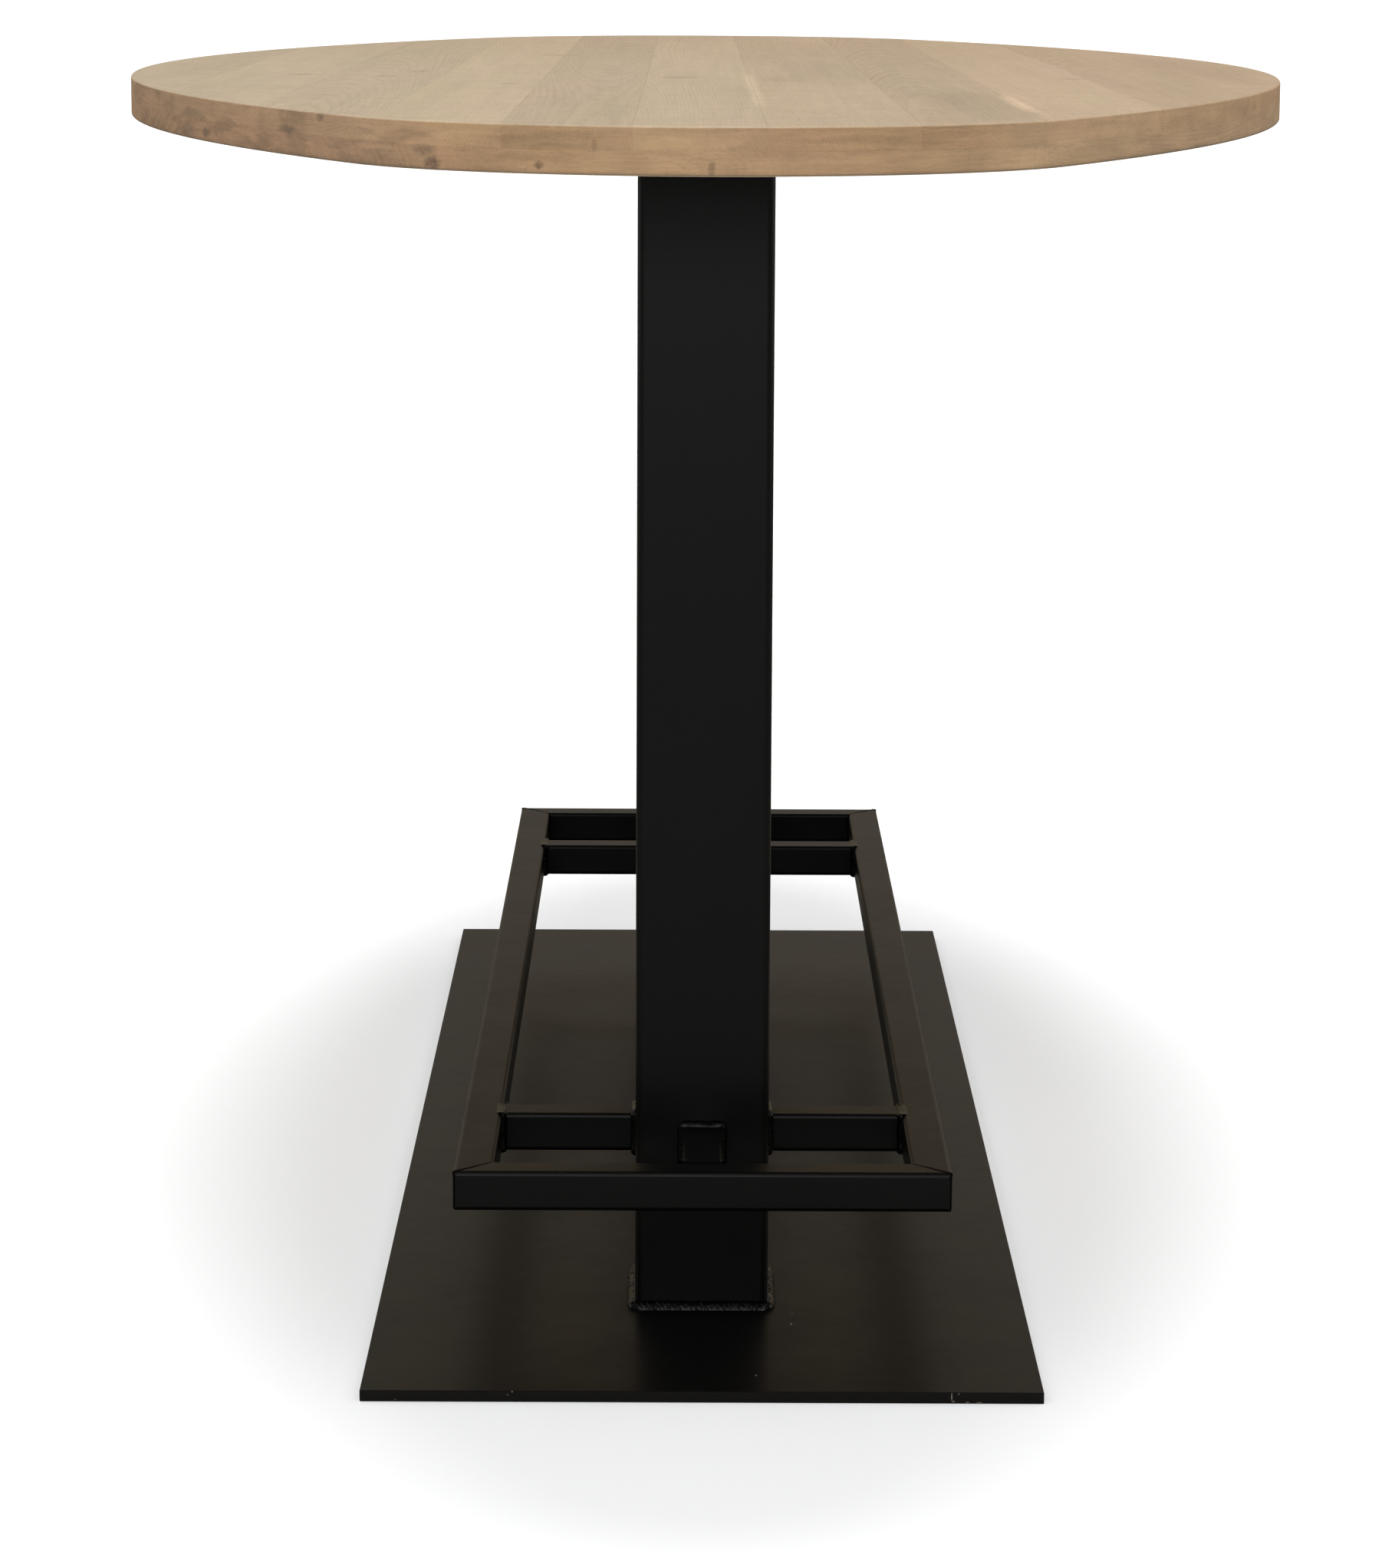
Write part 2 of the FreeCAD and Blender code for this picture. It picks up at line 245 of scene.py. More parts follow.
def build_floor():
    mat, net = new_material("studio_floor")
    pos = net.node("ShaderNodeTexCoord").outputs["Object"]
    tone = net.noise(pos, (0.7, 0.7, 0.7), 3.0, 0.5)
    pale = net.mix(tone, (0.93, 0.93, 0.93), (0.95, 0.95, 0.95))
    y = net.xyz(pos)[1]
    # painted shade and light for reflections only: glossy rays see the floor dark just in front of and under the table,
    # then in lighter and darker bands further out
    reflected_floor_tone = net.mix(net.smooth(y, -1.05, -1.50), (0.216, 0.196, 0.157), (0.72, 0.72, 0.70))
    reflected_floor_tone = net.mix(net.smooth(y, -1.7, -2.5), reflected_floor_tone, (0.44, 0.44, 0.425))
    reflected_floor_tone = net.mix(net.smooth(y, -2.8, -5.0), reflected_floor_tone, (0.61, 0.605, 0.575))
    reflected_floor_tone = net.mix(net.smooth(y, -7.0, -12.0), reflected_floor_tone, (0.46, 0.46, 0.46))
    path = net.node("ShaderNodeLightPath").outputs
    # painted light: for the camera the floor's lit colour is scaled to three quarters and the floor glows a little,
    # which lightens the shadow under the table
    pale = net.mix(path["Is Camera Ray"], pale, net.times(pale, 0.75))
    floor_shader = net.surface(net.mix(path["Is Glossy Ray"], pale, reflected_floor_tone), 1.0, Specular_IOR_Level=0.0)
    net.put(floor_shader.inputs["Emission Color"], (0.985, 0.999, 1.020))
    net.put(floor_shader.inputs["Emission Strength"], net.mul(path["Is Camera Ray"], 0.310))
    me = bpy.data.meshes.new("studio_floor")
    n, radius = 128, 60.0
    me.from_pydata([(radius * math.cos(2 * math.pi * i / n), radius * math.sin(2 * math.pi * i / n), -0.0002) for i in range(n)],
                   [], [list(range(n))])
    me.materials.append(mat)
    floor = bpy.data.objects.new("studio_floor", me)
    scene.collection.objects.link(floor)


build_world()
build_floor()
softbox("key_softbox", (-1.1, -6.4, 4.5), (0.0, -0.7, 0.7), 2.8, 0.6, 10.7)
for panel in (softbox("gloss_panel_front", (-0.5, -7.2, 1.85), (-0.4, 0.0, 1.75), 3.6, 0.9, 10.8),
              softbox("gloss_panel_left", (-7.4, 0.6, 1.7), (0.0, 0.2, 1.0), 5.0, 1.3, 6.0),
              softbox("gloss_panel_right", (7.4, 0.6, 1.7), (0.0, 0.2, 1.0), 5.0, 1.3, 6.0)):
    panel.visible_diffuse = False                               # these shape the steel's sheen only
overhead = bpy.data.lights.new("overhead_lamp", "SUN")
overhead.energy, overhead.angle = 1.70, math.radians(18.0)
overhead_lamp = bpy.data.objects.new("overhead_lamp", overhead)
overhead_lamp.location = (0.0, 0.0, 6.0)
scene.collection.objects.link(overhead_lamp)


# =====================================================================================================================
# oak
# =====================================================================================================================
# marks in the wood, millimetres in the table's frame: centre, radii, how dark (negative is light), and how much the grain bends round it
MARKS = [
    # small knots and darker fields on the face
    ((-383, -268, 1100), (17, 28, 14), 0.36, 0.5), ((-302, -303, 1100), (15, 26, 12), 0.32, 0.5), ((-280, -158, 1100), (14, 30, 12), 0.32, 0.5),
    ((-177, -503, 1100), (14, 22, 12), 0.40, 0.6), ((-158, 436, 1100), (26, 40, 14), 0.28, 0.5), ((-26, -308, 1100), (24, 26, 14), 0.42, 0.6),
    ((346, -300, 1100), (18, 26, 12), 0.34, 0.5), ((78, -360, 1100), (34, 90, 12), 0.17, 0.3), ((116, -140, 1100), (60, 460, 12), 0.14, 0.1),
    ((216, -930, 1100), (42, 400, 12), 0.22, 0.1), ((492, 60, 1100), (64, 560, 12), 0.20, 0.1), ((222, -1180, 1100), (34, 130, 12), 0.18, 0.1),
    # the front rim, upper layer
    ((-461, -731, 1086), (20, 60, 7), 0.30, 0.3), ((-297, -1175, 1096), (6, 12, 4.0), 0.80, 0.4), ((-328, -1108, 1084), (12, 28, 3.8), 0.80, 0.4),
    ((-145, -1362, 1090), (26, 16, 4.5), 0.30, 0.4), ((-150, -1360, 1095), (16, 12, 3.5), 0.22, 0.3), ((-105, -1383, 1091), (44, 30, 5), 0.22, 0.4),
    ((-84, -1388, 1086), (2.6, 20, 7), 0.42, 0.3), ((-57, -1390, 1093), (30, 20, 4.5), 0.12, 0.3), ((-187, -1340, 1090), (30, 34, 9), -0.45, 0.1),
    ((-250, -1262, 1089), (32, 46, 8), -0.55, 0.1), ((124, -1373, 1089), (36, 20, 4), 0.10, 0.3), ((170, -1347, 1084), (22, 20, 3), 0.14, 0.3),
    ((225, -1300, 1092), (30, 40, 4), 0.12, 0.3), ((300, -1163, 1094), (26, 60, 3), 0.28, 0.3), ((415, -885, 1091), (30, 90, 7), -0.35, 0.1),
    ((-408, -905, 1090), (18, 50, 7), 0.14, 0.2), ((-36, -1396, 1090), (34, 20, 7), -0.30, 0.1),
    # the front rim, lower layer
    ((-204, -1320, 1069), (9, 12, 6), 0.95, 0.7), ((-211, -1312, 1079), (14, 14, 5), 0.70, 0.6), ((-235, -1285, 1070), (20, 24, 3), 0.24, 0.4),
    ((-414, -885, 1071.6), (7, 26, 5), 0.95, 0.6), ((-436, -812, 1072), (13, 55, 6), 0.60, 0.5), ((-452, -762, 1078), (7, 30, 3.4), 0.50, 0.4),
    ((-338, -1084, 1077), (22, 50, 3), 0.16, 0.4), ((-370, -1004, 1069), (14, 40, 3), 0.38, 0.4), ((-289, -1192, 1075), (26, 50, 3.5), 0.10, 0.4),
    ((0.8, -1400, 1070), (3.2, 14, 7), 0.62, 0.3), ((-105, -1381, 1079), (38, 20, 3), 0.12, 0.5), ((-38, -1398, 1080.5), (40, 16, 2.5), 0.18, 0.3),
    ((-124, -1373, 1071), (5, 12, 4), 0.85, 0.5), ((46, -1396, 1079.5), (36, 16, 2.2), 0.12, 0.3), ((95, -1385, 1077), (40, 20, 5), -0.35, 0.2),
    ((18, -1400, 1068), (16, 14, 4), 0.16, 0.2), ((272, -1225, 1079), (30, 50, 6), -0.55, 0.2), ((350, -1080, 1072), (26, 40, 5), -0.45, 0.1),
    ((232, -1292, 1072), (44, 60, 10), -0.85, 0.1), ((172, -1345, 1073), (34, 50, 7), -0.35, 0.1), ((-252, -1260, 1077), (30, 46, 4), -0.45, 0.1),
    ((-322, -1122, 1073), (26, 60, 7), -0.45, 0.1), ((-400, -925, 1077), (16, 50, 3.5), 0.26, 0.3), ((-118, -1376, 1073), (26, 20, 6), 0.10, 0.2),
]


def oak(name, constants=None):
    """Oak with rings, pores, rays and knots. Pieces carry their own grain in three mesh attributes; constants gives them as
    (centre in metres, grain direction, across direction, (along, across, up) offsets, (light, warm, turn)) for a piece that has none."""
    mat, net = new_material(name)
    place = net.node("ShaderNodeTexCoord").outputs["Object"]
    normal = net.node("ShaderNodeNewGeometry").outputs["Normal"]
    if constants is None:
        wood = net.node("ShaderNodeAttribute", attribute_name="wood").outputs["Vector"]
        grain = net.node("ShaderNodeAttribute", attribute_name="grain").outputs["Vector"]
        tone = net.node("ShaderNodeAttribute", attribute_name="tone").outputs["Vector"]
    else:
        centre, g, a, off, tone = constants
        rel = net.v("SUBTRACT", place, centre)
        wood = net.vec(net.add(net.v("DOT_PRODUCT", rel, g), off[0]), net.add(net.v("DOT_PRODUCT", rel, a), off[1]),
                       net.add(net.xyz(rel)[2], off[2]))
        grain = net.vec(*g)
        tone = net.vec(*tone)
    tone = net.xyz(tone)
    pos = net.v("SCALE", place, scale=1000.0)                      # millimetres, table frame

    # knots and marks: nearest one, and the way each bends the grain
    wobble = net.v("SUBTRACT", net.noise(pos, (0.13, 0.13, 0.13), 3.0, 0.55, colour=True), (0.5, 0.5, 0.5))
    wpos = net.v("ADD", pos, net.v("SCALE", wobble, scale=5.0))
    dark, light, swirl = 0.0, 0.0, 0.0
    for c, r, s, b in MARKS:
        d = net.v("LENGTH", net.v("DIVIDE", net.v("SUBTRACT", wpos, c), r))
        core = net.smooth(d, 0.35, 1.15, abs(s), 0.0)
        if s > 0:
            dark = net.m("MAXIMUM", dark, core)
        else:
            light = net.m("MAXIMUM", light, core)
        swirl = net.add(swirl, net.smooth(d, 0.0, 2.6, b, 0.0))

    dark = net.mul(dark, net.span(net.noise(pos, (0.22, 0.22, 0.42), 3.0, 0.65), 0.34, 0.62, 0.50, 1.10))
    # scattered pin knots, different in every piece
    cells = net.node("ShaderNodeTexVoronoi", voronoi_dimensions="3D", feature="F1")
    net.put(cells.inputs["Vector"], net.v("MULTIPLY", wood, (3.1, 9.0, 9.0)))
    cells.inputs["Scale"].default_value = 1.0
    chance = net.xyz(cells.outputs["Color"])
    size = net.span(chance[0], 0.80, 1.0, 0.0, 0.075)
    pin = net.m("DIVIDE", cells.outputs["Distance"], net.add(size, 0.0001))
    pin_core = net.mul(net.smooth(pin, 0.35, 1.0, 1.0, 0.0), 0.62)
    swirl = net.add(swirl, net.smooth(pin, 0.0, 3.2, 0.8, 0.0))
    dark = net.m("MAXIMUM", dark, pin_core)

    # rings: the heart wanders slowly along the board, and the rings waver a little
    w = net.xyz(wood)
    heart_a = net.mul(net.m("SINE", net.mad(w[0], 0.8, 1.0)), 0.016)
    heart_b = net.mul(net.m("SINE", net.mul(w[0], 1.15)), 0.020)
    w1 = net.v("SUBTRACT", net.noise(wood, (1.6, 9.0, 9.0), 1.0, 0.5, colour=True), (0.5, 0.5, 0.5))
    w2 = net.v("SUBTRACT", net.noise(wood, (9.0, 140.0, 140.0), 1.0, 0.5, colour=True), (0.5, 0.5, 0.5))
    bent = net.v("ADD", wood, net.v("SCALE", w1, scale=0.0022))
    bent = net.v("ADD", bent, net.v("SCALE", w2, scale=0.0007))
    b = net.xyz(bent)
    b = (b[0], net.add(b[1], heart_a), net.add(b[2], heart_b))
    rad = net.m("SQRT", net.add(net.mul(b[1], b[1]), net.mul(b[2], b[2])))
    rad = net.add(rad, net.mul(swirl, 0.0022))
    rings = net.add(net.mul(rad, 420.0), net.mul(net.noise(rad, 60.0, 1.0, 0.5, dims="1D"), 1.7))
    ring_id = net.m("FLOOR", rings)
    ring_f = net.m("FRACT", rings)
    rnd = net.node("ShaderNodeTexWhiteNoise", noise_dimensions="1D")
    net.put(rnd.inputs["W"], ring_id)
    ring_rnd = rnd.outputs["Value"]
    early = net.mul(net.smooth(ring_f, 0.0, 0.12), net.smooth(ring_f, 0.14, net.span(ring_rnd, 0, 1, 0.45, 0.95), 1.0, 0.0))
    early = net.mul(early, net.span(ring_rnd, 0, 1, 0.45, 1.0))
    early = net.mul(early, net.span(net.noise(wood, (1.6, 14.0, 14.0), 1.0, 0.5), 0.35, 0.65, 0.35, 1.0))

    # fibres, pores and rays
    fib1 = net.noise(bent, (11.0, 460.0, 460.0), 2.0, 0.6)
    fib2 = net.noise(bent, (3.0, 110.0, 110.0), 2.0, 0.55)
    fib3 = net.noise(bent, (60.0, 1700.0, 1700.0), 1.0, 0.5)
    pore_n = net.noise(bent, (120.0, 2600.0, 2600.0), 0.0, 0.5)
    pore_lo = net.span(early, 0.0, 1.0, 0.70, 0.52)
    pores = net.smooth(pore_n, pore_lo, net.add(pore_lo, 0.09))
    around = net.mul(net.m("ARCTAN2", b[1], b[2]), 0.09)
    ray_n = net.noise(net.vec(b[0], around, rad), (34.0, 1300.0, 42.0), 1.0, 0.5)
    ray = net.smooth(ray_n, 0.60, 0.70)
    # how far the face is cut across the rays (quarter-sawn) or along the rings (flat-sawn)
    across = net.v("CROSS_PRODUCT", grain, (0, 0, 1))
    ca, sa = net.m("COSINE", tone[2]), net.m("SINE", tone[2])
    na = net.v("DOT_PRODUCT", normal, across)
    nz = net.xyz(normal)[2]
    ra = net.sub(net.mul(b[1], ca), net.mul(b[2], sa))
    rz = net.add(net.mul(b[1], sa), net.mul(b[2], ca))
    flat = net.m("ABSOLUTE", net.m("DIVIDE", net.add(net.mul(na, ra), net.mul(nz, rz)), net.add(rad, 0.001)))
    end = net.smooth(net.m("ABSOLUTE", net.v("DOT_PRODUCT", normal, grain)), 0.35, 0.95)
    edge = net.smooth(net.m("ABSOLUTE", nz), 0.75, 0.25)

    # colour: tan latewood, greyer porous earlywood, slow drifts of tone and hue
    drift = net.noise(wood, (0.8, 9.0, 9.0), 3.0, 0.55)
    hue = net.noise(net.v("ADD", wood, (7.3, 1.1, 2.7)), (1.2, 13.0, 13.0), 2.0, 0.5)
    colour = net.mix(early, (0.371, 0.280, 0.183), (0.351, 0.261, 0.165))
    colour = net.mix(net.span(hue, 0.3, 0.7), net.v("MULTIPLY", colour, (0.985, 1.0, 0.965)), net.v("MULTIPLY", colour, (1.02, 0.985, 1.01)))
    mottle = net.noise(pos, (0.020, 0.020, 0.020), 3.0, 0.6)
    level = net.span(drift, 0.25, 0.75, 0.93, 1.06, clamp=False)
    curl = net.noise(net.v("ADD", wpos, (300.0, 0.0, 0.0)), (0.011, 0.034, 0.034), 3.0, 0.6)
    level = net.mul(level, net.span(mottle, 0.3, 0.7, 0.965, 1.03, clamp=False))
    level = net.mul(level, net.span(curl, 0.3, 0.7, 0.955, 1.035, clamp=False))
    level = net.mul(level, net.span(ring_rnd, 0, 1, 0.98, 1.02))
    level = net.mul(level, net.span(fib1, 0.25, 0.75, 0.94, 1.05, clamp=False))
    level = net.mul(level, net.span(fib2, 0.25, 0.75, 0.95, 1.04, clamp=False))
    level = net.mul(level, net.span(fib3, 0.25, 0.75, 0.97, 1.03, clamp=False))
    level = net.mul(level, tone[0])
    level = net.mul(level, net.sub(1.0, net.mul(pores, 0.22)))
    ray_gain = net.span(flat, 0.35, 0.95, 0.08, -0.09)
    level = net.mul(level, net.mad(ray, ray_gain, 1.0))
    colour = net.times(colour, level)
    colour = net.v("MULTIPLY", colour, net.vec(net.mad(tone[1], 0.012, 1.0), net.mad(tone[1], -0.030, 1.0), net.mad(tone[1], -0.060, 1.0)))
    # cut edges and end grain took more oil; on top of that the rim is painted darker on the left and lighter on the
    # right as painted shade, the eased corner between face and rim gets a painted highlight, and a thin glue line parts
    # the two layers
    px = net.xyz(pos)[0]
    oil_and_side_shade = net.mix(net.smooth(px, -430.0, -20.0), (0.810, 0.626, 0.482), (0.905, 0.768, 0.640))
    oil_and_side_shade = net.mix(net.smooth(px, 40.0, 300.0), oil_and_side_shade, (0.932, 0.808, 0.652))
    streak = net.noise(wpos, (0.012, 0.012, 0.34), 3.0, 0.6)
    blotch = net.noise(net.v("ADD", wpos, (0.0, 0.0, 517.0)), (0.013, 0.013, 0.085), 3.0, 0.6)
    left = net.smooth(px, -60.0, -260.0, 0.45, 1.0)
    worn = net.mul(net.span(streak, 0.3, 0.7, 0.90, 1.09, clamp=False), net.sub(1.0, net.mul(net.smooth(blotch, 0.47, 0.64), net.mul(left, 0.24))))
    oil_and_side_shade = net.times(oil_and_side_shade, worn)
    colour = net.mix(edge, colour, net.v("MULTIPLY", colour, oil_and_side_shade))
    # painted shade: the whole top darker and warmer towards the back
    back_shade = net.mix(net.smooth(net.xyz(pos)[1], -300.0, 1200.0), (1.0, 1.0, 1.0), (0.945, 0.925, 0.875))
    colour = net.v("MULTIPLY", colour, back_shade)
    colour = net.mix(end, colour, net.v("MULTIPLY", colour, (0.97, 0.955, 0.92)))
    # painted highlight on the upward eased edge, painted shade on the downward eased edge
    corner = net.mul(net.smooth(nz, 0.12, 0.45), net.smooth(nz, 0.75, 0.97, 1.0, 0.0))
    heel_shade = net.mul(net.smooth(nz, -0.12, -0.45), net.smooth(nz, -0.97, -0.75))
    colour = net.times(colour, net.sub(net.mad(corner, 0.12, 1.0), net.mul(heel_shade, 0.50)))
    zmm = net.xyz(pos)[2]
    glue = net.mul(net.smooth(net.m("ABSOLUTE", net.sub(zmm, 1082.0)), 0.10, 0.45, 1.0, 0.0), edge)
    # painted shade along the lowest few millimetres of the rim
    rim_foot_shade = net.mul(net.smooth(zmm, 1069.0, 1064.5), edge)
    colour = net.times(colour, net.sub(1.0, net.add(net.mul(glue, 0.07), net.mul(rim_foot_shade, 0.20))))
    # knots and light flecks
    brown = net.mix(net.noise(pos, (0.35, 0.35, 0.35), 2.0, 0.6), (0.062, 0.034, 0.019), (0.15, 0.092, 0.053))
    colour = net.mix(net.mul(dark, 0.92), colour, brown)
    colour = net.mix(light, colour, net.v("MULTIPLY", colour, (1.22, 1.24, 1.22)))
    # pale sapwood along two of the glue lines
    p = net.xyz(wpos)
    for x, half, y0, y1, gain in ((41.0, 5.0, -1080.0, -150.0, 0.20), (251.5, 6.0, -1140.0, -700.0, 0.34)):
        near = net.smooth(net.m("ABSOLUTE", net.sub(p[0], x)), half * 0.3, half * 1.6, 1.0, 0.0)
        window = net.mul(net.smooth(p[1], y0, y0 + 120.0), net.smooth(p[1], y1 - 160.0, y1, 1.0, 0.0))
        colour = net.mix(net.mul(net.mul(near, window), net.smooth(nz, 0.5, 0.9)), colour, net.times(colour, 1.0 + gain))

    rough = net.add(net.add(net.span(early, 0, 1, 0.48, 0.54), net.mul(pores, 0.12)), net.mul(edge, 0.12))
    height = net.add(net.mul(pores, -1.0), net.add(net.mul(early, -0.35), net.mul(fib1, 0.4)))
    net.surface(colour, rough, net.bump(height, 0.22, 0.00008), IOR=1.33)
    return mat


OAK = oak("oak")

A, B, END_R = 560.0, 1400.0, 300.0
E = B - END_R
K = (E * E - (A - END_R) ** 2) / (2.0 * (A - END_R))
R = A + K
PHI = math.atan2(E, K)
Z_TOP, Z_MID, Z_LOW = 1100.0, 1082.0, 1064.0


def oval(theta, inset):
    """Point of the oval at the angle of its outward normal."""
    c, s = math.cos(theta), math.sin(theta)
    fold = math.atan2(abs(s), abs(c))
    if fold <= PHI:
        return ((R - inset) * c - math.copysign(K, c), (R - inset) * s)
    return ((END_R - inset) * c, (END_R - inset) * s + math.copysign(E, s))


def theta_at(x, inset):
    """Angle in 0..pi where the oval, moved inward, crosses x."""
    ax = min(abs(x), A - inset)
    tangent = (END_R - inset) * math.cos(PHI)
    t = math.acos(min(1.0, (ax + K) / (R - inset))) if ax > tangent else math.acos(ax / (END_R - inset))
    return t if x >= 0 else math.pi - t


def theta_steps(t0, t1):
    """Angles from t0 to t1, close enough for a smooth edge."""
    marks = sorted(k * math.pi + s * PHI for k in range(-3, 4) for s in (-1, 1))
    stops = [t0] + [t for t in marks if min(t0, t1) + 1e-4 < t < max(t0, t1) - 1e-4][:: 1 if t1 > t0 else -1] + [t1]
    out = [t0]
    for a, b in zip(stops, stops[1:]):
        mid = (a + b) / 2
        side = math.atan2(abs(math.sin(mid)), abs(math.cos(mid))) <= PHI
        n = max(1, math.ceil(abs(b - a) / math.radians(0.4 if side else 1.25)))
        out += [a + (b - a) * k / n for k in range(1, n + 1)]
    return out


def finish_mesh(name, verts, faces, material, replaced, smooth_deg=28.0, grain=None):
    me = bpy.data.meshes.new(name)
    me.from_pydata([Vector(v) * MM for v in verts], [], faces)
    bm = bmesh.new()
    bm.from_mesh(me)
    bmesh.ops.recalc_face_normals(bm, faces=bm.faces)
    bm.to_mesh(me)
    bm.free()
    me.polygons.foreach_set("use_smooth", [True] * len(me.polygons))
    me.set_sharp_from_angle(angle=math.radians(smooth_deg))
    me.materials.append(material)
    if grain is not None:
        centre, g, off, tone = grain
        co = np.array([v.co for v in me.vertices], float) * 1000.0 - np.array(centre)
        g = np.array(g, float)
        a = np.cross(g, (0.0, 0.0, 1.0))
        c, s = math.cos(tone[2]), math.sin(tone[2])
        along, ac, up = co @ g, co @ a, co[:, 2]
        wood = np.stack([along / 1000.0 + off[0], (c * ac + s * up) / 1000.0 + off[1], (-s * ac + c * up) / 1000.0 + off[2]], 1)
        for key, data in (("wood", wood), ("grain", np.tile(g, (len(co), 1))), ("tone", np.tile(np.array(tone, float), (len(co), 1)))):
            me.attributes.new(key, "FLOAT_VECTOR", "POINT").data.foreach_set("vector", data.astype(np.float32).ravel())
    obj = bpy.data.objects.new(name, me)
    scene.collection.objects.link(obj)
    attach(obj, "root")
    if replaced:
        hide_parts(*replaced)
    return obj


EASE = 2.0
SEAMS = [-462.0, -355.0, -250.0, -152.0, -56.0, 41.0, 154.0, 251.0, 360.0, 466.0]
# lightness, warmth, turn of the rings, and where the heart of the tree lies (across, up) in mm, for each stave
STAVES = [
    (1.00, -0.9, 0.00, 70, -60), (1.02, -0.9, 0.10, -85, -45), (0.99, -0.7, -0.05, 15, -120), (1.06, -0.3, 0.05, 80, -60),
    (0.965, -0.2, 0.00, -25, -95), (1.02, -0.3, 0.04, 75, -70), (0.985, 0.2, -0.06, -80, -50), (0.93, 0.5, 0.08, 30, 95),
    (1.035, 0.6, 0.00, -85, -65), (0.965, 1.3, 0.05, 28, -120), (0.985, 1.3, -0.10, -75, -60),
]


def build_staves():
    levels = [(Z_MID, 0.0, 0.03), (Z_TOP - EASE, 0.0, 0.03)]
    for deg in (18, 36, 54, 72, 90):
        f = math.radians(deg)
        levels.append((Z_TOP - EASE + EASE * math.sin(f), EASE * (1 - math.cos(f)), 0.03 if deg < 90 else 0.14))
    edges = [None] + SEAMS + [None]
    for i in range(len(edges) - 1):
        x0, x1 = edges[i], edges[i + 1]

        def limits(inset, gap):
            """The arcs of this stave's outline, front first, as pairs of angles, counterclockwise from above."""
            if x0 is None:
                t = theta_at(x1 - gap, inset)
                return [(t, 2 * math.pi - t)]
            if x1 is None:
                t = theta_at(x0 + gap, inset)
                return [(-t, t)]
            a, b = theta_at(x0 + gap, inset), theta_at(x1 - gap, inset)
            return [(-a, -b), (b, a)]

        base = [theta_steps(*pair) for pair in limits(0.0, 0.03)]
        verts, rings = [], []
        for z, inset, gap in levels:
            ring = []
            for steps, (t0, t1) in zip(base, limits(inset, gap)):
                for t in steps:
                    t = t0 + (t1 - t0) * (t - steps[0]) / (steps[-1] - steps[0])
                    x, y = oval(t, inset)
                    ring.append(len(verts))
                    verts.append((x, y, z))
            rings.append(ring)
        n = len(rings[0])
        faces = [list(reversed(rings[0])), list(rings[-1])]
        for lo, hi in zip(rings, rings[1:]):
            faces += [(lo[k], lo[(k + 1) % n], hi[(k + 1) % n], hi[k]) for k in range(n)]
        light, warm, turn, hx, hz = STAVES[i]
        cx = ((x0 if x0 is not None else -A) + (x1 if x1 is not None else A)) / 2
        finish_mesh("oak_plank_%02d" % (i + 1), verts, faces, OAK, ["oak_stave_%02d" % (i + 1)],
                    grain=((cx, 0, (Z_TOP + Z_MID) / 2), (0, 1, 0), (3.7 * i + 1.3, hx * MM, hz * MM), (light, warm, turn)))


# border strips in the order of their nodes: start and end angle of the outward normal, lightness, warmth, turn, heart
SIDE = math.degrees(math.asin(430.0 / R))
BORDERS = [
    (-80.0, -33.5, 1.00, 0.5, 0.9, 40, -70), (-132.0, -80.0, 1.03, 0.6, 1.2, -20, 90), (-180 + SIDE, -132.0, 0.93, 0.1, 0.7, 30, -80),
    (180 - SIDE, 180 + SIDE, 0.99, 0.2, 1.1, -40, -60), (146.5, 180 - SIDE, 1.02, 0.3, 0.4, 20, -90),
    (100.0, 146.5, 0.97, 0.4, 1.0, 30, 80), (48.0, 100.0, 1.02, 0.2, 0.2, -30, -75), (SIDE, 48.0, 0.96, 0.3, 0.8, 35, -85),
    (-SIDE, SIDE, 1.00, 0.2, 1.3, -25, -70), (-33.5, -SIDE, 0.99, 0.35, 0.6, 25, 85),
]


def build_borders():
    section = [(0.0, Z_MID)]
    for deg in (0, 18, 36, 54, 72, 90):
        f = math.radians(deg)
        section.append((EASE * (1 - math.cos(f)), Z_LOW + EASE - EASE * math.sin(f)))
    section += [(120.0 - 0.8, Z_LOW), (120.0, Z_LOW + 0.8), (120.0, Z_MID)]
    m = len(section)
    for i, (d0, d1, light, warm, turn, ha, hz) in enumerate(BORDERS):
        gap = 0.03 / END_R
        t0, t1 = math.radians(d0) + gap, math.radians(d1) - gap
        verts, faces = [], []
        steps = theta_steps(t0, t1)
        for t in steps:
            for inset, z in section:
                x, y = oval(t, inset)
                verts.append((x, y, z))
        for k in range(len(steps) - 1):
            faces += [(k * m + j, k * m + (j + 1) % m, (k + 1) * m + (j + 1) % m, (k + 1) * m + j) for j in range(m)]
        faces += [list(range(m)), [(len(steps) - 1) * m + j for j in reversed(range(m))]]
        p0, p1 = Vector((*oval(t0, 60.0), 0.0)), Vector((*oval(t1, 60.0), 0.0))
        g = (p1 - p0).normalized()
        mid = (p0 + p1) / 2
        finish_mesh("oak_strip_%02d" % (i + 1), verts, faces, OAK, ["oak_border_%02d" % (i + 1)],
                    grain=((mid.x, mid.y, (Z_MID + Z_LOW) / 2), tuple(g), (71.0 + 2.9 * i, ha * MM, hz * MM), (light, warm, turn)))


build_staves()
build_borders()


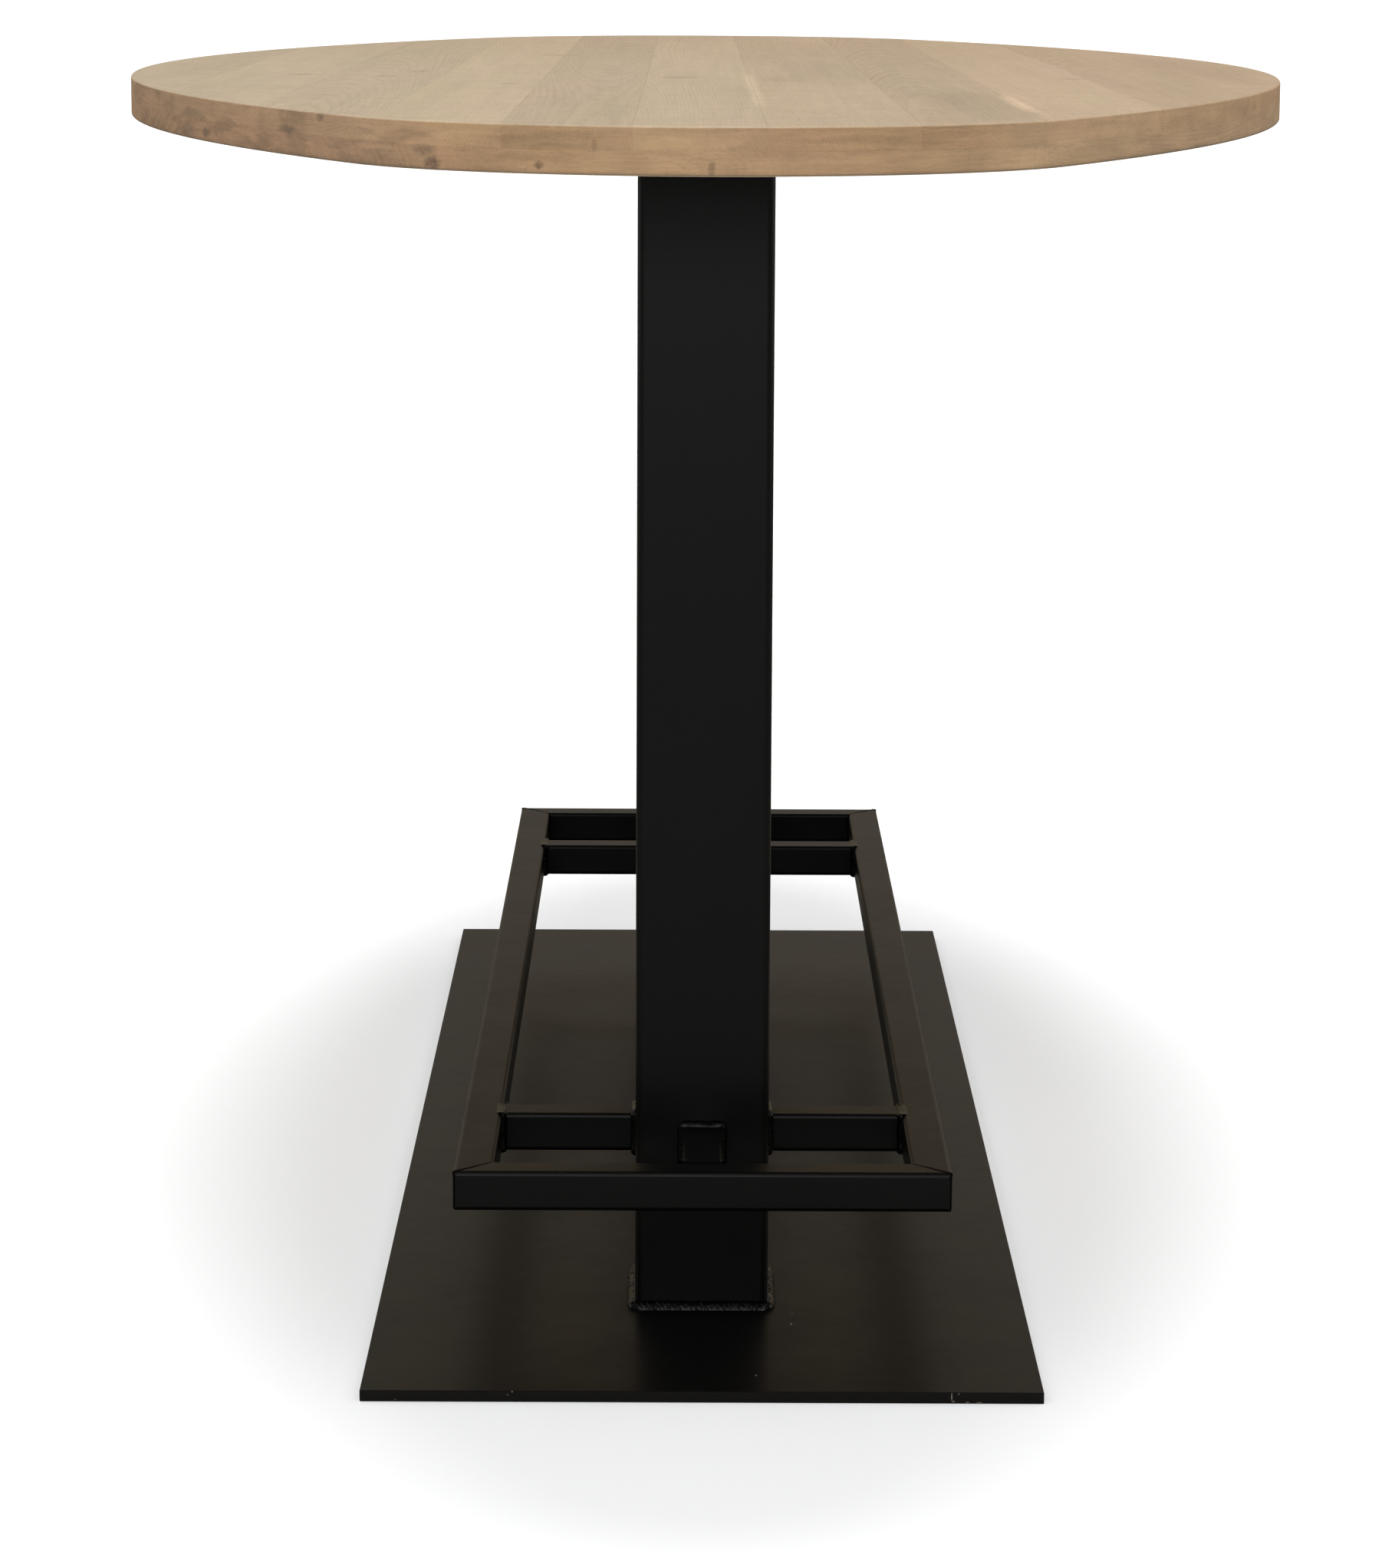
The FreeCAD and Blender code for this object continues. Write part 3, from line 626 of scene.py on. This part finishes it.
# =====================================================================================================================
# steel, welds, fixings
# =====================================================================================================================
def steel(name, weld=False, chips=()):
    """Satin black powder coat: nearly black, cloudy gloss, faint orange peel on weld beads only, rare pale specks and
    chips.
    """
    mat, net = new_material(name)
    pos = net.v("SCALE", net.node("ShaderNodeTexCoord").outputs["Object"], scale=1000.0)
    nz = net.xyz(net.node("ShaderNodeNewGeometry").outputs["Normal"])[2]
    cloud = net.noise(pos, (0.010, 0.010, 0.010), 2.0, 0.5)
    fine = net.noise(pos, (0.055, 0.055, 0.055), 1.0, 0.5)
    base = net.mix(cloud, (0.0007, 0.0007, 0.0007), (0.0010, 0.0010, 0.0009))
    if chips:
        # the plate's upright edges are painted lighter: partly a cut edge's paler coat, partly painted light for the
        # floor they face
        base = net.mix(net.smooth(net.m("ABSOLUTE", nz), 0.7, 0.2), base, (0.0066, 0.0063, 0.0057))
    # rare specks of dust on top faces
    specks = net.node("ShaderNodeTexVoronoi", voronoi_dimensions="3D", feature="F1")
    net.put(specks.inputs["Vector"], net.v("SCALE", pos, scale=0.018))
    specks.inputs["Scale"].default_value = 1.0
    size = net.span(net.xyz(specks.outputs["Color"])[0], 0.70, 1.0, 0.0, 0.012)
    speck = net.mul(net.smooth(net.m("DIVIDE", specks.outputs["Distance"], net.add(size, 1e-5)), 0.5, 1.0, 1.0, 0.0), net.smooth(nz, 0.2, 0.9))
    base = net.mix(net.mul(speck, 0.8), base, (0.060, 0.054, 0.044))
    r = net.span(net.add(net.mul(cloud, 0.6), net.mul(fine, 0.4)), 0.35, 0.65, *((0.19, 0.24) if weld else (0.335, 0.375)))
    r = net.add(r, net.mul(speck, 0.3))
    # chips in the coat, bare metal grey-brown
    if chips:
        ragged = net.v("SUBTRACT", net.noise(pos, (0.55, 0.55, 0.55), 3.0, 0.6, colour=True), (0.5, 0.5, 0.5))
        cpos = net.v("ADD", pos, net.v("SCALE", ragged, scale=1.4))
        chip = 0.0
        for c, radii, much in chips:
            d = net.v("LENGTH", net.v("DIVIDE", net.v("SUBTRACT", cpos, c), radii))
            chip = net.m("MAXIMUM", chip, net.smooth(d, 0.6, 1.05, much, 0.0))
        base = net.mix(chip, base, (0.20, 0.175, 0.13))
        r = net.add(r, net.mul(chip, 0.3))
    normal = net.bump(net.noise(pos, (0.8, 0.8, 0.8), 1.0, 0.5), 0.15, 0.00004) if weld else None
    net.surface(base, r, normal, IOR=1.19)
    return mat


STEEL = steel("black_powder_coat_fine")
PLATE = steel("black_powder_coat_plate", chips=[
    ((213.5, -940.5, 6.2), (0.7, 2.0, 4.2), 0.8), ((214.8, -940.5, 2.0), (1.5, 2.0, 1.0), 0.6), ((219.5, -940.5, 8.8), (0.9, 2.0, 1.2), 0.4),
    ((227.0, -940.5, 1.2), (2.0, 2.0, 0.8), 0.5), ((237.0, -940.5, 1.0), (3.0, 2.0, 0.7), 0.6), ((-162.0, -940.3, 9.2), (0.9, 1.2, 0.7), 0.8),
    ((-166.0, -940.3, 6.5), (0.7, 1.2, 0.7), 0.5), ((-262.0, -940.3, 2.0), (0.8, 1.2, 0.7), 0.4),
    ((82.1, -709.4, 10.0), (0.8, 2.4, 1.6), 0.9), ((80.4, -741.4, 10.0), (1.1, 3.4, 1.6), 1.0), ((47.0, -893.8, 10.0), (0.8, 2.2, 1.6), 0.9),
    ((134.8, -510.1, 10.0), (0.4, 5.0, 1.6), 0.35), ((-287.8, -838.4, 10.0), (0.5, 1.4, 1.6), 0.5)])
WELD = steel("painted_weld_bead", weld=True)
GAP_BLACK, gap_net = new_material("painted_seam_gap")
gap_pos = gap_net.v("SCALE", gap_net.node("ShaderNodeTexCoord").outputs["Object"], scale=1000.0)
gap_net.surface(gap_net.mix(gap_net.noise(gap_pos, (0.6, 0.6, 0.6), 2.0, 0.6), (0.0006, 0.0006, 0.0006), (0.0035, 0.0031, 0.0026)), 0.5, IOR=1.08)


def zinc(name):
    mat, net = new_material(name)
    pos = net.v("SCALE", net.node("ShaderNodeTexCoord").outputs["Object"], scale=1000.0)
    spangle = net.noise(pos, (0.9, 0.9, 0.9), 3.0, 0.6)
    turned = net.noise(pos, (0.4, 0.4, 9.0), 2.0, 0.6)
    colour = net.mix(spangle, (0.50, 0.50, 0.48), (0.68, 0.68, 0.66))
    net.surface(colour, net.span(turned, 0.3, 0.7, 0.28, 0.46), net.bump(net.add(spangle, turned), 0.3, 0.00003), Metallic=1.0)
    return mat


ZINC = zinc("zinc_plate")


def rounded_path(w, h, r, step, start=0.0):
    """Closed rounded rectangle, counterclockwise, as (u, v, nu, nv, s), starting at the middle of its right side."""
    a, b = w / 2 - r, h / 2 - r
    parts = [("l", (w / 2, 0), (w / 2, b)), ("a", (a, b), 0), ("l", (a, h / 2), (-a, h / 2)), ("a", (-a, b), 90),
             ("l", (-w / 2, b), (-w / 2, -b)), ("a", (-a, -b), 180), ("l", (-a, -h / 2), (a, -h / 2)), ("a", (a, -b), 270),
             ("l", (w / 2, -b), (w / 2, 0))]
    total = 2 * (2 * a + 2 * b) + 2 * math.pi * r
    n = max(24, round(total / step))
    out = []
    for k in range(n):
        s = total * k / n
        rest = (s + start) % total
        for part in parts:
            if part[0] == "l":
                p, q = part[1], part[2]
                length = math.dist(p, q)
                if rest <= length + 1e-9:
                    f = rest / length if length else 0.0
                    nu, nv = (q[1] - p[1]) / length, -(q[0] - p[0]) / length
                    out.append((p[0] + (q[0] - p[0]) * f, p[1] + (q[1] - p[1]) * f, nu, nv, s))
                    break
            else:
                length = math.pi / 2 * r
                if rest <= length + 1e-9:
                    ang = math.radians(part[2]) + rest / r
                    c, sn = math.cos(ang), math.sin(ang)
                    out.append((part[1][0] + r * c, part[1][1] + r * sn, c, sn, s))
                    break
            rest -= length
    return out, total


def ripple(phase):
    """Overlapping scales: rounded crests with sharp valleys, from -0.5 to 0.5."""
    return abs(math.cos(math.pi * phase)) ** 0.75 - 0.62


def bead(origin, e1, e2, e3, w, h, r, leg, seed, period=4.2, amp=0.34, calm=None, swell=0.16, crown=None, step=0.55, knobs=(), across=10, slant=(0.30, 0.85), rough_ripple=0.9):
    """Closed weld bead round a tube's end. e1, e2 span the wall, e3 points along the tube away from it. crown gives the half of the path
    (those with a large |v| normal) a low crown over the seam, as (toe on the tube, toe over the rail), where both pieces are level."""
    origin, e1, e2, e3 = Vector(origin), Vector(e1), Vector(e2), Vector(e3)
    path, total = rounded_path(w, h, r, step)
    turns = max(1, round(total / period))
    verts, faces = [], []
    m = across + 3
    for u, v, nu, nv, s in path:
        ang = 2 * math.pi * s / total
        ring_pos = Vector((math.cos(ang) * total / 12.0, math.sin(ang) * total / 12.0, seed * 3.1))
        slow = noise.noise(ring_pos * 0.35)
        quick = noise.noise(ring_pos * 1.7 + Vector((0, 0, 9.0)))
        la = leg * (1 + 0.13 * slow + 0.05 * quick)
        lb = leg * (1 + 0.10 * noise.noise(ring_pos * 0.5 + Vector((5.0, 0, 0))) + 0.05 * quick)
        lift = swell * leg * (1 + 0.5 * slow)
        for at, width, height in knobs:
            d = (s - at * total + total / 2) % total - total / 2
            lift += height * math.exp(-(d / width) ** 2)
            la += 0.5 * height * math.exp(-(d / width) ** 2)
        k = 0.0
        toe_a, toe_b = (la, 0.0), (0.0, lb)
        if crown is not None:
            k = min(1.0, max(0.0, (abs(nv) - 0.55) / 0.4))
            k = k * k * (3 - 2 * k)
            rag = 1 + 0.16 * quick
            toe_a = (la * (1 - k) - 0.15 * k, 0.0 * (1 - k) - crown[1] * rag * k)
            toe_b = (0.0, lb * (1 - k) + crown[0] * rag * k)
        a_here = amp if calm is None else amp * (calm + (1 - calm) * abs(nv) ** 2)
        wobble = rough_ripple * noise.noise(ring_pos * 0.9 + Vector((0, 4.0, 0)))
        ring = []
        dx, dy = toe_b[0] - toe_a[0], toe_b[1] - toe_a[1]
        ln = math.hypot(dx, dy)
        ox, oy = dy / ln, -dx / ln
        if ox < 0 and k < 0.5:
            ox, oy = -ox, -oy
        for j in range(across):
            q = j / (across - 1)
            hump = math.sin(math.pi * q) ** 0.8
            phase = (s + wobble) / total * turns + slant[0] * (1 - (2 * q - 1) ** 2) + slant[1] * q
            d = lift * hump + a_here * ripple(phase) * (0.35 + 0.65 * hump)
            if j in (0, across - 1):
                d = 0.0
                shift = 0.45 * a_here * ripple(phase)
            else:
                shift = 0.0
            pn = toe_a[0] + dx * q + ox * d
            pz = toe_a[1] + dy * q + oy * d
            if j == 0:
                if k < 0.5:
                    pn += shift
                pz -= 0.1
            if j == across - 1:
                pz += shift
                pn -= 0.1
            ring.append((pn, pz))
        ring.append((-0.6, toe_b[1]))
        ring.append((-1.0, toe_a[1] * 0.5 - 0.2))
        ring.append((-0.4 if k < 0.5 else -1.2, toe_a[1] - 0.15))
        for pn, pz in ring:
            p = origin + e1 * (u + nu * pn) + e2 * (v + nv * pn) + e3 * pz
            verts.append(tuple(p))
    n = len(path)
    for i in range(n):
        i2 = (i + 1) % n
        faces += [(i * m + j, i * m + (j + 1) % m, i2 * m + (j + 1) % m, i2 * m + j) for j in range(m)]
    return verts, faces


def join(parts):
    verts, faces = [], []
    for v, f in parts:
        base = len(verts)
        verts += v
        faces += [tuple(base + k for k in face) for face in f]
    return verts, faces


COL, COL_R, COL_Y, PLATE_T, Z_MOUNT = 120.0, 7.0, 633.0, 10.0, 1056.0
TUBE, TUBE_R, FRAME_TOP, FRAME_W, FRAME_L = 35.0, 4.0, 180.0, 433.0, 1710.0
ZC = FRAME_TOP - TUBE / 2
XC, YC = FRAME_W / 2 - TUBE / 2, FRAME_L / 2 - TUBE / 2
X_IN, Y_IN = FRAME_W / 2 - TUBE, FRAME_L / 2 - TUBE
X, Y, Z = Vector((1, 0, 0)), Vector((0, 1, 0)), Vector((0, 0, 1))


def build_welds():
    corner = 0.125
    knobs4 = [(0.125 + 0.25 * k, 3.2, 1.1) for k in range(4)]
    for name, s in (("front", -1), ("rear", 1)):
        cy = s * COL_Y
        v, f = bead((0, cy, PLATE_T), X, Y, Z, COL, COL, COL_R, 7.1, 11 + s, period=4.9, amp=0.48, calm=0.2, swell=0.19,
                    knobs=knobs4, across=14, slant=(0.0, 1.25), rough_ripple=0.5)
        finish_mesh("foot_bead_" + name, v, f, WELD, ["foot_weld_" + name], smooth_deg=75)
        v, f = bead((0, cy, Z_MOUNT), X, -Y, -Z, COL, COL, COL_R, 4.7, 17 + s, knobs=knobs4)
        finish_mesh("head_bead_" + name, v, f, WELD, ["head_weld_" + name], smooth_deg=75)
        parts = []
        for cx in (-1, 1):
            parts.append(bead((cx * COL / 2, cy, ZC), Y * cx, Z, X * cx, TUBE, TUBE, TUBE_R, 4.7, 23 + 2 * s + cx, period=3.6, amp=0.13,
                              knobs=[(corner + 0.25 * k, 2.4, 0.8) for k in range(4)]))
            parts.append(bead((cx * X_IN, cy, ZC), -Y * cx, Z, -X * cx, TUBE, TUBE, TUBE_R, 4.5, 31 + 2 * s + cx, period=3.6, amp=0.13,
                              crown=(4.2, 6.2), knobs=[(corner + 0.25 * k, 2.6, 0.9) for k in range(4)]))
        v, f = join(parts)
        finish_mesh("cross_rail_beads_" + name, v, f, WELD, ["cross_rail_welds_" + name], smooth_deg=75)
        parts = [bead((0, s * (COL_Y + COL / 2), ZC), -X * s, Z, Y * s, TUBE, TUBE, TUBE_R, 4.8, 41 + s, period=3.6, amp=0.13,
                      knobs=[(corner + 0.25 * k, 2.6, 1.1) for k in range(4)]),
                 bead((0, s * Y_IN, ZC), X * s, Z, -Y * s, TUBE, TUBE, TUBE_R, 4.5, 47 + s, period=3.6, amp=0.13, crown=(4.2, 6.2),
                      knobs=[(corner + 0.25 * k, 2.6, 0.9) for k in range(4)])]
        v, f = join(parts)
        finish_mesh("stub_beads_" + name, v, f, WELD, ["stub_welds_" + name], smooth_deg=75)


def build_mitres():
    """Seams of the four mitres: a ragged dark gap round the tube, widest near the outer corner, where it ends in a small lump."""
    parts = []
    half = TUBE / 2
    for cx in (-1, 1):
        for cy in (-1, 1):
            path, total = rounded_path(TUBE, TUBE, TUBE_R, 0.6)
            cross = Vector((cx, -cy, 0)).normalized()
            verts, faces = [], []
            m = 11
            for u, v, nu, nv, s in path:
                here = Vector((u * 0.2 + cx * 31, v * 0.2, cy * 17))
                deep = 0.60 + 0.25 * noise.noise(here * 1.3)
                sway = 0.10 * noise.noise(here * 2.1 + Vector((3, 0, 0)))
                lump = 1.1 * math.exp(-((u - half) / 3.0) ** 2 - ((v - half) / 3.5) ** 2)
                reach = min(u, half - 1.17 - 0.02)
                t = min(1.0, max(0.0, (u + half) / TUBE))
                gap = math.sin(math.pi * min(1.0, t / 0.78) / 2) ** 1.6 * (1 - 0.55 * max(0.0, (t - 0.80) / 0.20))
                wide = 0.85 + 1.75 * gap * max(0.0, nv) ** 6 * (1 + 0.5 * noise.noise(here * 1.7 + Vector((0, 7, 0))))
                for a, d in ((-wide, -0.20), (-0.93 * wide, 0.05), (-0.62 + sway, 0.05), (-0.42 + sway, -deep), (0.42 + sway, -deep),
                             (0.62 + sway, 0.05), (0.93 * wide, 0.05), (wide, -0.20), (wide, -1.3), (0.0, -1.5), (-wide, -1.3)):
                    d = d + (lump if d > -1.0 else 0.0)
                    uu, vv = reach + nu * d, v + nv * d
                    p = Vector((cx * (XC + uu), cy * (YC + uu), ZC + vv)) + cross * a
                    verts.append(tuple(p))
            n = len(path)
            for i in range(n):
                i2 = (i + 1) % n
                faces += [(i * m + j, i * m + (j + 1) % m, i2 * m + (j + 1) % m, i2 * m + j) for j in range(m)]
            parts.append((verts, faces))
    v, f = join(parts)
    finish_mesh("mitre_seams", v, f, GAP_BLACK, ["mitre_welds"], smooth_deg=60)


def build_spatter():
    """Tiny balls of weld spatter stuck to the plate near the front foot."""
    rnd = random.Random(5)
    verts, faces = [], []
    spots = []
    for k in range(16):
        a = rnd.uniform(0, 2 * math.pi)
        d = 72 + abs(rnd.gauss(0, 26))
        spots.append((d * math.cos(a), (-COL_Y if k % 2 else COL_Y) + d * math.sin(a), rnd.uniform(0.25, 0.5)))
    for x, y, r in spots:
        base = len(verts)
        rings, around = 4, 10
        for i in range(rings):
            f = math.pi / 2 * i / rings
            for j in range(around):
                t = 2 * math.pi * j / around
                verts.append((x + r * math.cos(f) * math.cos(t), y + r * math.cos(f) * math.sin(t), PLATE_T - 0.02 + 0.8 * r * math.sin(f)))
        verts.append((x, y, PLATE_T - 0.02 + 0.8 * r))
        for i in range(rings - 1):
            for j in range(around):
                j2 = (j + 1) % around
                faces.append((base + i * around + j, base + i * around + j2, base + (i + 1) * around + j2, base + (i + 1) * around + j))
        top = base + rings * around
        last = base + (rings - 1) * around
        faces += [(last + j, last + (j + 1) % around, top) for j in range(around)]
        faces.append(tuple(base + j for j in reversed(range(around))))
    finish_mesh("weld_spatter", verts, faces, WELD, [], smooth_deg=60)


build_welds()
build_mitres()
build_spatter()


def dress(names, material):
    for n in names:
        me = nodes[n].data
        if not me.materials:
            me.materials.append(material)
        for k in range(len(me.materials)):
            me.materials[k] = material


dress(["floor_plate"], PLATE)
dress(["column_front", "column_rear", "mounting_plate_front", "mounting_plate_rear", "rail_front", "rail_rear", "rail_left",
       "rail_right", "cross_rail_front_left", "cross_rail_front_right", "cross_rail_rear_left", "cross_rail_rear_right", "stub_front",
       "stub_rear"], STEEL)
dress(["foot_weld_front", "foot_weld_rear", "head_weld_front", "head_weld_rear", "cross_rail_welds_front", "cross_rail_welds_rear",
       "stub_welds_front", "stub_welds_rear", "mitre_welds"], WELD)
dress(["top_screws_front", "top_screws_rear", "top_washers_front", "top_washers_rear"], ZINC)
dress(["oak_stave_%02d" % k for k in range(1, 12)] + ["oak_border_%02d" % k for k in range(1, 11)], OAK)
for side, cy in (("front", -0.633), ("rear", 0.633)):
    dress(["oak_batten_" + side], oak("oak_batten_" + side, ((0, cy, 1.073), (1.0, 0.0, 0.0), (0.0, -1.0, 0.0),
                                                           (131.0 + cy * 9, 0.02, -0.075), (0.96, 0.2, 0.0))))
